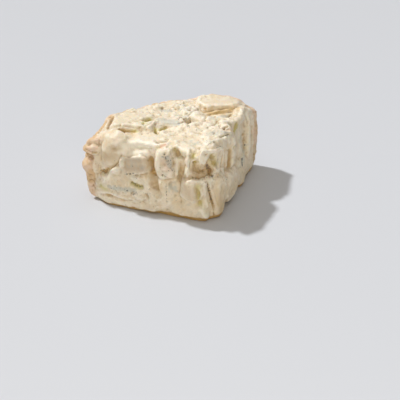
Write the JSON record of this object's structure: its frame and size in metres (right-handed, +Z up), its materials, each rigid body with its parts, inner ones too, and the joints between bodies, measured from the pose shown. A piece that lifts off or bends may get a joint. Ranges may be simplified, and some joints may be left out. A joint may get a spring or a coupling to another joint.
{
  "type": "wedge of soft blue cheese",
  "caption": "Wedge of soft blue cheese with a curved rind, two cut faces and a torn, craggy top; it stands on its flat foot.",
  "frame": {"origin": "middle of the bounding box's foot, on the surface that the cheese stands on", "axes": "+Z up from the foot; +Y from the wedge's tip towards the middle of its curved rind; +X towards the right end of the rind, seen from the tip"},
  "size_m": [0.2274, 0.156, 0.0987],
  "materials": {
    "paste": "moist ivory paste with blue-green veins and a tan rind"
  },
  "bodies": {
    "root": {"gorgonzola": "paste"}
  },
  "joints": []
}
